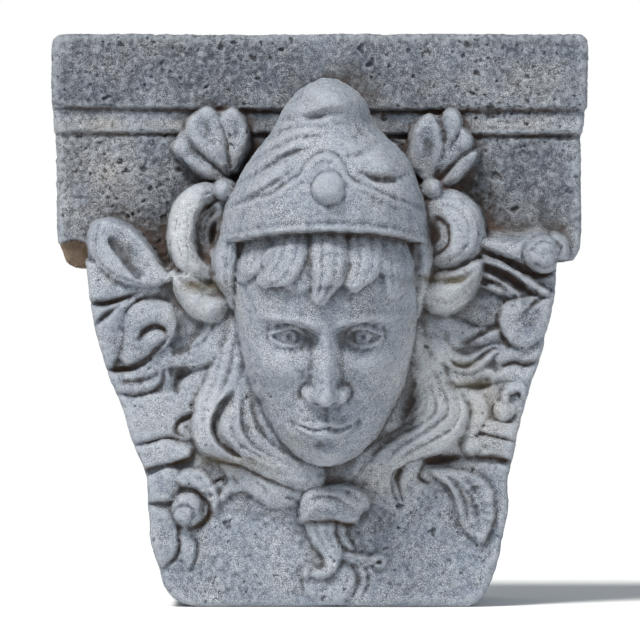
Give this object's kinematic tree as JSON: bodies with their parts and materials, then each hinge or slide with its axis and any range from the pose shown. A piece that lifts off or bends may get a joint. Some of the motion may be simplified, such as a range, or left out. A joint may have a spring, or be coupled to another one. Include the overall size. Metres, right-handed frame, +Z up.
{
  "type": "carved keystone",
  "caption": "Limestone keystone for an arch: a moulded block over a tapered body, carved with a woman's head in a folded cap, loose hair and leaves.",
  "frame": {"origin": "middle of the overall box, on the level underside that the stone stands on", "axes": "+Z up, the carved front faces -Y, the flat back that goes into the wall faces +Y, +X to the right of someone who faces the carving"},
  "size_m": [0.537, 0.3696, 0.572],
  "materials": {
    "limestone": "matt, pitted and weathered, with a blue-grey patina and brown dirt in the hollows"
  },
  "bodies": {
    "root": {"keystone": "limestone"}
  },
  "joints": []
}
